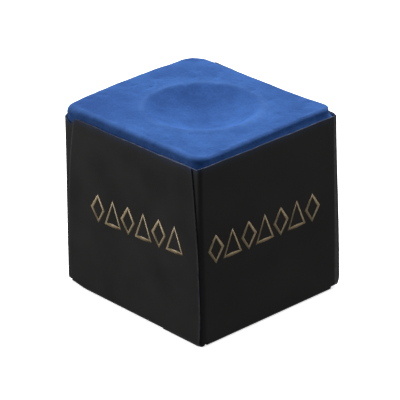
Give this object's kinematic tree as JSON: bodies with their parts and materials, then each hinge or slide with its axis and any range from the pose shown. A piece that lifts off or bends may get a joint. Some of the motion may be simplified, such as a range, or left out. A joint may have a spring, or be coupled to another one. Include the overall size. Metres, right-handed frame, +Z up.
{
  "type": "cue chalk cube",
  "caption": "Small cube of pressed blue cue chalk in a dark folded paper label, with a shallow round cup in its top for the tip of a billiard cue.",
  "frame": {"origin": "centre of the underside, on the surface the cube stands on", "axes": "+Z up through the cup; -Y and +Y out through the plain flaps of the label, -X and +X out through its winged panels"},
  "size_m": [0.022, 0.0216, 0.0215],
  "materials": {
    "chalk": "matte pressed powder, blue",
    "label_paper": "black print on thin coated paper, soft sheen",
    "gold_print": "muted gold printed line ornament on the label",
    "adhesive": "dried water-based glue"
  },
  "bodies": {
    "root": {"chalk_block": "chalk", "label": "label_paper", "glue_film": "adhesive"}
  },
  "joints": []
}
